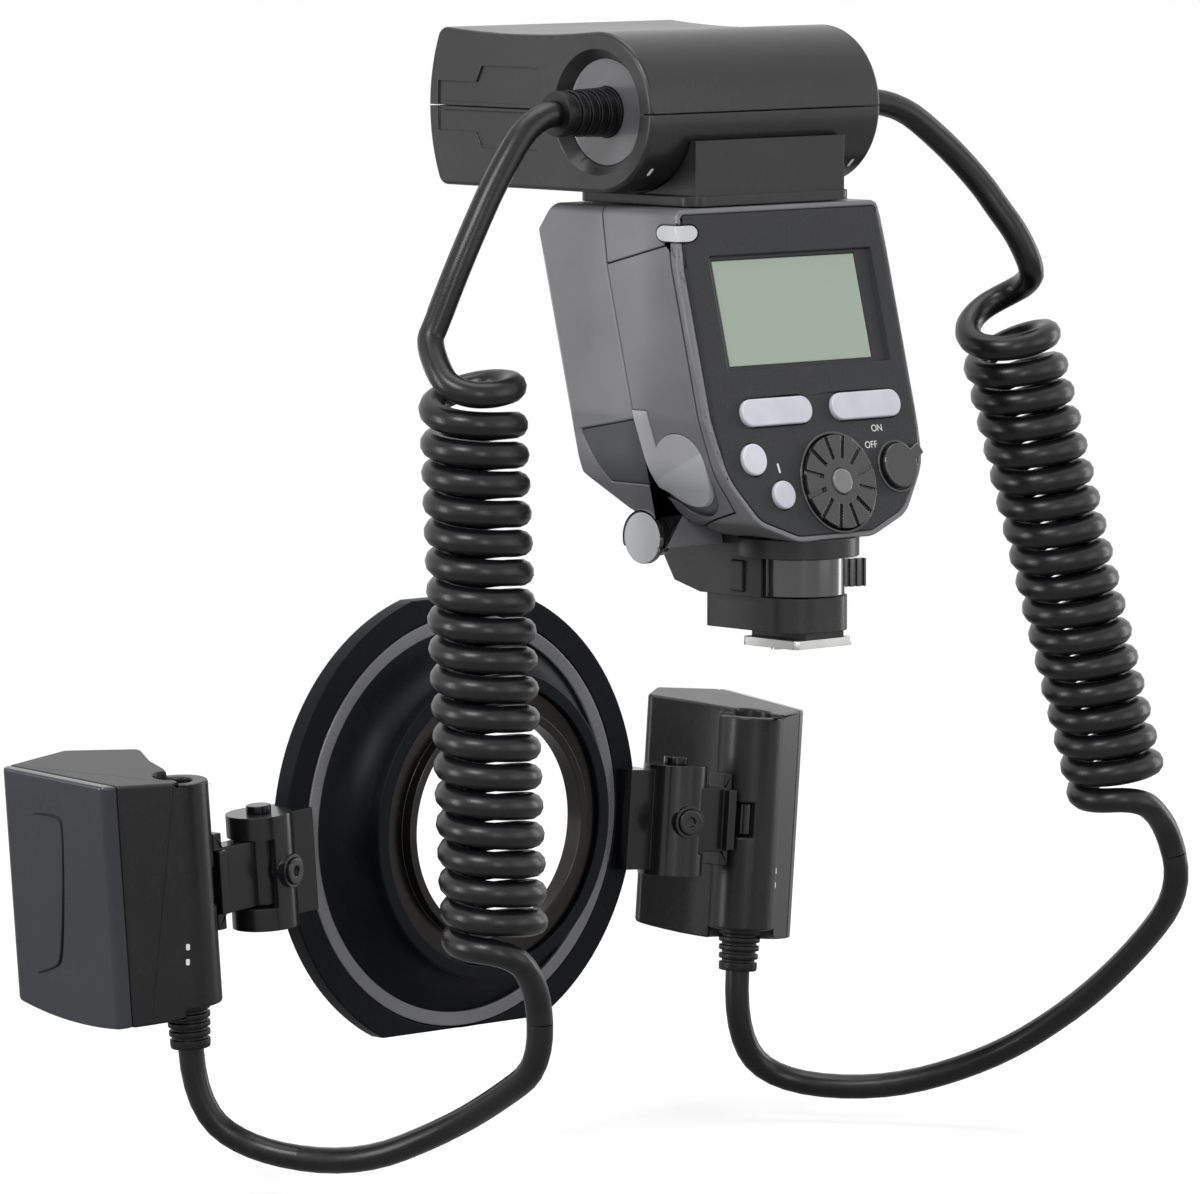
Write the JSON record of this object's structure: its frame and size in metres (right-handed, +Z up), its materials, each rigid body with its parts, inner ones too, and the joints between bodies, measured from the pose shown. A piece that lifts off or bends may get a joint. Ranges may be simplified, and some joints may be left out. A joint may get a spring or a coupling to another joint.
{
  "type": "macro twin flash",
  "caption": "Macro flash controller with a shoe foot, a tilting cord housing, curly cords and a lens ring that carries swivelling flash heads on clips.",
  "frame": {"origin": "centre of the shoe foot's sole", "axes": "+X to the viewer's right, +Y towards the subject along the lens axis, +Z up"},
  "size_m": [0.2581, 0.1647, 0.2755],
  "materials": {
    "black_plastic": "satin",
    "side_plastic": "satin",
    "panel_plastic": "fine texture",
    "lcd_glass": "display window",
    "button_clear": "translucent",
    "gloss_black": "gloss",
    "grey_plastic": "satin",
    "foot_metal": "black satin",
    "contact_metal": "plated",
    "cell_metal": "wrapped cans",
    "board_green": "lacquered",
    "red_window": "dark translucent",
    "cord_rubber": "satin",
    "relief_rubber": "matte",
    "bell_black": "smooth",
    "adapter_metal": "anodised",
    "pin_steel": "turned",
    "window_clear": "prismatic",
    "reflector": "bright",
    "cap_gloss": "gloss"
  },
  "bodies": {
    "controller": {"foot_plate": "foot_metal", "foot_housing": "black_plastic", "front_shell": "side_plastic", "rear_shell": "side_plastic", "control_panel": "panel_plastic", "lcd_window": "lcd_glass", "battery_cells": "cell_metal", "main_board": "board_green", "socket_cap": "grey_plastic", "af_window": "red_window", "ring_body": "bell_black", "adapter_ring": "adapter_metal", "cord_upper_left": "cord_rubber", "cord_upper_right": "cord_rubber", "coil_left": "cord_rubber", "coil_right": "cord_rubber", "cord_lower_left": "cord_rubber", "cord_lower_right": "cord_rubber"},
    "contacts": {"contact_pins": "contact_metal"},
    "lock_pin": {"locking_pin": "pin_steel"},
    "lock_ring": {"lock_lever": "gloss_black"},
    "lock_button": {"lock_release": "black_plastic"},
    "wide_left": {"wide_button_left": "button_clear"},
    "wide_right": {"wide_button_right": "button_clear"},
    "mode_key": {"mode_button": "button_clear"},
    "lamp_key": {"lamp_button": "button_clear"},
    "set_key": {"set_button": "gloss_black"},
    "test_key": {"test_button": "grey_plastic"},
    "dial": {"control_dial": "gloss_black"},
    "switch": {"power_switch": "gloss_black"},
    "door": {"battery_door": "side_plastic"},
    "latch": {"battery_latch": "grey_plastic"},
    "cover": {"terminal_cover": "relief_rubber"},
    "neck": {"neck_saddle": "black_plastic"},
    "cord_housing": {"head_upper_shell": "black_plastic", "head_lower_shell": "black_plastic", "end_discs": "grey_plastic", "tilt_shaft": "pin_steel", "head_strain_reliefs": "relief_rubber"},
    "ring_button": {"ring_release": "black_plastic"},
    "clip_left": {"clip_left": "black_plastic", "knuckle_pin_left": "pin_steel"},
    "clip_key_left": {"clip_button_left": "gloss_black"},
    "arm_left": {"arm_left": "black_plastic"},
    "flash_left": {"flash_shell_left": "black_plastic", "flash_cap_left": "cap_gloss", "flash_window_left": "window_clear", "flash_lamp_left": "reflector", "barrel_pin_left": "pin_steel", "flash_strain_relief_left": "relief_rubber"},
    "clip_right": {"clip_right": "black_plastic", "knuckle_pin_right": "pin_steel"},
    "clip_key_right": {"clip_button_right": "gloss_black"},
    "arm_right": {"arm_right": "black_plastic"},
    "flash_right": {"flash_shell_right": "black_plastic", "flash_cap_right": "cap_gloss", "flash_window_right": "window_clear", "flash_lamp_right": "reflector", "barrel_pin_right": "pin_steel", "flash_strain_relief_right": "relief_rubber"}
  },
  "joints": [
    {"name": "contact_press", "type": "slide", "parent": "controller", "child": "contacts", "axis": [0, 0, 1], "range_m": [0, 0.0004], "stiffness_N_per_m": 600},
    {"name": "lock_turn", "type": "hinge", "parent": "controller", "child": "lock_ring", "pos_m": [0, 0, 0.0164], "axis": [0, 0, 1], "range_deg": [-60, 0]},
    {"name": "lock_pin_lift", "type": "slide", "parent": "controller", "child": "lock_pin", "axis": [0, 0, 1], "range_m": [0, 0.0016]},
    {"name": "lock_release_press", "type": "slide", "parent": "controller", "child": "lock_button", "axis": [1, 0, 0], "range_m": [0, 0.0006], "stiffness_N_per_m": 200},
    {"name": "wide_left_press", "type": "slide", "parent": "controller", "child": "wide_left", "axis": [0, 0.9677, -0.2521], "range_m": [0, 0.0006], "stiffness_N_per_m": 200},
    {"name": "wide_right_press", "type": "slide", "parent": "controller", "child": "wide_right", "axis": [0, 0.9677, -0.2521], "range_m": [0, 0.0006], "stiffness_N_per_m": 200},
    {"name": "mode_press", "type": "slide", "parent": "controller", "child": "mode_key", "axis": [0, 0.9677, -0.2521], "range_m": [0, 0.0006], "stiffness_N_per_m": 200},
    {"name": "lamp_press", "type": "slide", "parent": "controller", "child": "lamp_key", "axis": [0, 0.9677, -0.2521], "range_m": [0, 0.0006], "stiffness_N_per_m": 200},
    {"name": "set_press", "type": "slide", "parent": "controller", "child": "set_key", "axis": [0, 0.9677, -0.2521], "range_m": [0, 0.0008], "stiffness_N_per_m": 200},
    {"name": "test_press", "type": "slide", "parent": "controller", "child": "test_key", "axis": [0.7314, 0.682, 0], "range_m": [0, 0.0005], "stiffness_N_per_m": 200},
    {"name": "dial_turn", "type": "hinge", "parent": "controller", "child": "dial", "pos_m": [0.0035, -0.00967, 0.03827], "axis": [0, -0.9677, 0.2521], "continuous": true},
    {"name": "switch_turn", "type": "hinge", "parent": "controller", "child": "switch", "pos_m": [0.0235, -0.00902, 0.04079], "axis": [0, -0.9677, 0.2521], "range_deg": [-30, 30]},
    {"name": "door_swing", "type": "hinge", "parent": "controller", "child": "door", "pos_m": [-0.0341, 0.02166, 0.062], "axis": [0, -0.2521, -0.9677], "range_deg": [0, 100]},
    {"name": "latch_slide", "type": "slide", "parent": "door", "child": "latch", "axis": [0, -0.2521, -0.9677], "range_m": [0, 0.0022], "stiffness_N_per_m": 60},
    {"name": "cover_swing", "type": "hinge", "parent": "controller", "child": "cover", "pos_m": [-0.0342, 0.03803, 0.0445], "axis": [0, 0, -1], "range_deg": [0, 90]},
    {"name": "neck_turn", "type": "hinge", "parent": "controller", "child": "neck", "pos_m": [0, 0.0289, 0.1035], "axis": [0, 0, 1], "range_deg": [-60, 60], "deforming": ["cord_upper_left", "cord_upper_right"]},
    {"name": "housing_tilt", "type": "hinge", "parent": "neck", "child": "cord_housing", "pos_m": [0, 0.0289, 0.1238], "axis": [1, 0, 0], "range_deg": [0, 60], "deforming": ["cord_upper_left", "cord_upper_right"]},
    {"name": "ring_button_press", "type": "slide", "parent": "controller", "child": "ring_button", "axis": [0, 0, -1], "range_m": [0, 0.001], "stiffness_N_per_m": 200},
    {"name": "clip_turn_left", "type": "hinge", "parent": "controller", "child": "clip_left", "pos_m": [0, 0.1185, -0.0523], "axis": [0, 1, 0], "range_deg": [-40, 60], "deforming": ["cord_lower_left"]},
    {"name": "clip_key_press_left", "type": "slide", "parent": "clip_left", "child": "clip_key_left", "axis": [-0.258, 0.9659, -0.0208], "range_m": [0, 0.0006], "stiffness_N_per_m": 200},
    {"name": "arm_swing_left", "type": "hinge", "parent": "clip_left", "child": "arm_left", "pos_m": [-0.06718, 0.113, -0.0577], "axis": [-0.0802, 0, 0.9968], "range_deg": [-30, 25], "deforming": ["cord_lower_left"]},
    {"name": "flash_turn_left", "type": "hinge", "parent": "arm_left", "child": "flash_left", "pos_m": [-0.0928, 0.113, -0.05977], "axis": [-0.0802, 0, 0.9968], "range_deg": [-25, 25], "deforming": ["cord_lower_left"]},
    {"name": "clip_turn_right", "type": "hinge", "parent": "controller", "child": "clip_right", "pos_m": [0, 0.1185, -0.0523], "axis": [0, -1, 0], "range_deg": [-40, 60], "deforming": ["cord_lower_right"]},
    {"name": "clip_key_press_right", "type": "slide", "parent": "clip_right", "child": "clip_key_right", "axis": [0.258, 0.9659, -0.0208], "range_m": [0, 0.0006], "stiffness_N_per_m": 200},
    {"name": "arm_swing_right", "type": "hinge", "parent": "clip_right", "child": "arm_right", "pos_m": [0.06718, 0.113, -0.0577], "axis": [-0.0802, 0, -0.9968], "range_deg": [-30, 25], "deforming": ["cord_lower_right"]},
    {"name": "flash_turn_right", "type": "hinge", "parent": "arm_right", "child": "flash_right", "pos_m": [0.0928, 0.113, -0.05977], "axis": [-0.0802, 0, -0.9968], "range_deg": [-25, 25], "deforming": ["cord_lower_right"]}
  ],
  "couplings": [
    {"joint": "lock_pin_lift", "follows": "lock_turn", "m_per_rad": -0.001527}
  ]
}
